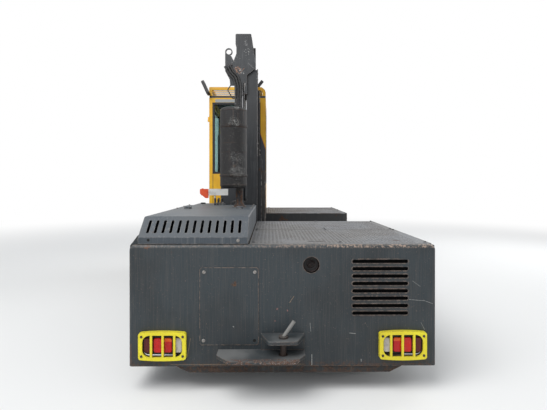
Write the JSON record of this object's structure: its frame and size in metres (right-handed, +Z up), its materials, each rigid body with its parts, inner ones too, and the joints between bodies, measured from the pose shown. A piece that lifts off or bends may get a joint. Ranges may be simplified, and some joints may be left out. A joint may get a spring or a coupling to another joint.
{
  "type": "side loader forklift",
  "caption": "Side loader forklift with a reaching mast in a well between two load decks, rear engine hood and a corner cab",
  "frame": {"origin": "on the ground at the middle of the whole machine's box", "axes": "+Y is the way it travels, +X is its load side, +Z is up"},
  "size_m": [2.2, 4.74, 3.2429],
  "materials": {
    "body_grey": "dark anthracite grey paint, scratched, rust brown at the edges",
    "frame_grey": "dark grey paint, dusty",
    "deck_steel": "worn grey tread plate, bare steel on the raised bars",
    "hood_grey": "blue-grey paint, satin",
    "cab_yellow": "yellow paint, satin",
    "guard_yellow": "bright yellow paint on cast guards, chipped",
    "silencer_black": "black heat paint, flaked and rusty",
    "mast_grey": "dark grey paint, greasy, bare on the running faces",
    "bare_steel": "worn bare steel",
    "chrome": "hard chrome",
    "fork_steel": "black paint worn to steel on the blades",
    "rubber": "black rubber, dusty",
    "hose_rubber": "black hose rubber",
    "rim_grey": "light grey wheel paint, dirty",
    "cast_grey": "cast iron, oily",
    "glass": "teal-tinted cab glass",
    "lamp": "red, orange and white lamp lenses",
    "head_lamp": "clear and orange lamp lenses",
    "marker": "white board with a red-orange end",
    "trim_black": "black plastic",
    "seat_black": "black vinyl, sewn"
  },
  "bodies": {
    "chassis": {"chassis_frame": "frame_grey", "rear_axle": "cast_grey", "front_axle": "cast_grey", "ballast_block": "frame_grey", "engine_block": "cast_grey", "fuel_tank": "frame_grey", "hydraulic_tank": "hood_grey", "tail_panel": "body_grey", "tail_cover": "body_grey", "side_panels": "body_grey", "front_panel": "body_grey", "rear_deck": "deck_steel", "front_deck": "deck_steel", "hood_cowl": "hood_grey", "tow_hitch": "body_grey", "tail_lamps": "lamp", "head_lamps": "head_lamp", "lamp_guards": "guard_yellow", "marker_bar": "marker", "silencer": "silencer_black", "mast_rails": "mast_grey", "cab_floor": "frame_grey", "cab_rear_wall": "cab_yellow", "cab_front_wall": "cab_yellow", "cab_right_wall": "cab_yellow", "cab_left_frame": "cab_yellow", "cab_windows": "glass", "cab_roof": "trim_black", "roof_guard": "cab_yellow", "seat_base": "trim_black", "cab_seat": "seat_black", "cab_controls": "trim_black", "mirror_and_lamps": "trim_black"},
    "hood": {"engine_hood": "hood_grey"},
    "door": {"cab_door": "cab_yellow", "door_glass": "glass"},
    "trolley": {"mast_trolley": "mast_grey", "reach_motor": "cast_grey"},
    "outer": {"outer_mast": "mast_grey", "lift_barrels": "mast_grey"},
    "inner": {"inner_mast": "mast_grey", "lift_rods": "chrome", "lift_chains": "bare_steel", "hose_loop": "hose_rubber"},
    "fork_lift": {"fork_carriage": "mast_grey", "forks": "fork_steel"},
    "tilt_barrel": {"tilt_barrels": "mast_grey"},
    "tilt_rod": {"tilt_rods": "chrome"},
    "left_knuckle_body": {"left_knuckle": "cast_grey"},
    "right_knuckle_body": {"right_knuckle": "cast_grey"},
    "steering_rod": {"tie_rod": "chrome"},
    "rear_left_wheel": {"rear_left_tyre": "rubber", "rear_left_rim": "rim_grey"},
    "rear_right_wheel": {"rear_right_tyre": "rubber", "rear_right_rim": "rim_grey"},
    "front_left_wheel": {"front_left_tyre": "rubber", "front_left_rim": "rim_grey"},
    "front_right_wheel": {"front_right_tyre": "rubber", "front_right_rim": "rim_grey"}
  },
  "joints": [
    {"name": "mast_reach", "type": "slide", "parent": "chassis", "child": "trolley", "axis": [1, 0, 0], "range_m": [0, 1.24]},
    {"name": "mast_tilt", "type": "hinge", "parent": "trolley", "child": "outer", "pos_m": [-0.3, 0.297, 0.42], "axis": [0, 1, 0], "range_deg": [-5, 3]},
    {"name": "mast_lift", "type": "slide", "parent": "outer", "child": "inner", "axis": [0, 0, 1], "range_m": [-0.27, 1.1]},
    {"name": "fork_lift", "type": "slide", "parent": "inner", "child": "fork_lift", "axis": [0, 0, 1], "range_m": [-0.27, 1.1]},
    {"name": "tilt_barrel_turn", "type": "hinge", "parent": "trolley", "child": "tilt_barrel", "pos_m": [-0.965, 0.297, 0.68], "axis": [0, 1, 0], "range_deg": [-3.65, 2.19]},
    {"name": "tilt_rod_slide", "type": "slide", "parent": "tilt_barrel", "child": "tilt_rod", "axis": [0.5929, 0, 0.8052], "range_m": [-0.06025, 0.03615]},
    {"name": "left_steer", "type": "hinge", "parent": "chassis", "child": "left_knuckle_body", "pos_m": [-0.76, 1.54, 0.42], "axis": [0, 0, 1], "range_deg": [-30, 30]},
    {"name": "right_steer", "type": "hinge", "parent": "chassis", "child": "right_knuckle_body", "pos_m": [0.76, 1.54, 0.42], "axis": [0, 0, 1], "range_deg": [-30, 30]},
    {"name": "steering_rod_slide", "type": "slide", "parent": "chassis", "child": "steering_rod", "axis": [1, 0, 0], "range_m": [-0.07495, 0.07495]},
    {"name": "hood_lift", "type": "hinge", "parent": "chassis", "child": "hood", "pos_m": [-0.645, -1.056, 1.263], "axis": [-1, 0, 0], "range_deg": [0, 60]},
    {"name": "door_swing", "type": "hinge", "parent": "chassis", "child": "door", "pos_m": [-1.012, 1.096, 1.9], "axis": [0, 0, 1], "range_deg": [0, 100]},
    {"name": "rear_left_spin", "type": "hinge", "parent": "chassis", "child": "rear_left_wheel", "pos_m": [-0.89, -1.26, 0.42], "axis": [1, 0, 0], "continuous": true},
    {"name": "rear_right_spin", "type": "hinge", "parent": "chassis", "child": "rear_right_wheel", "pos_m": [0.89, -1.26, 0.42], "axis": [1, 0, 0], "continuous": true},
    {"name": "front_left_spin", "type": "hinge", "parent": "left_knuckle_body", "child": "front_left_wheel", "pos_m": [-0.89, 1.54, 0.42], "axis": [1, 0, 0], "continuous": true},
    {"name": "front_right_spin", "type": "hinge", "parent": "right_knuckle_body", "child": "front_right_wheel", "pos_m": [0.89, 1.54, 0.42], "axis": [1, 0, 0], "continuous": true}
  ],
  "couplings": [
    {"joint": "fork_lift", "follows": "mast_lift", "ratio": 1},
    {"joint": "tilt_barrel_turn", "follows": "mast_tilt", "ratio": 0.7292},
    {"joint": "tilt_rod_slide", "follows": "mast_tilt", "m_per_rad": 0.6897},
    {"joint": "right_steer", "follows": "left_steer", "ratio": 1},
    {"joint": "steering_rod_slide", "follows": "left_steer", "m_per_rad": 0.143}
  ]
}
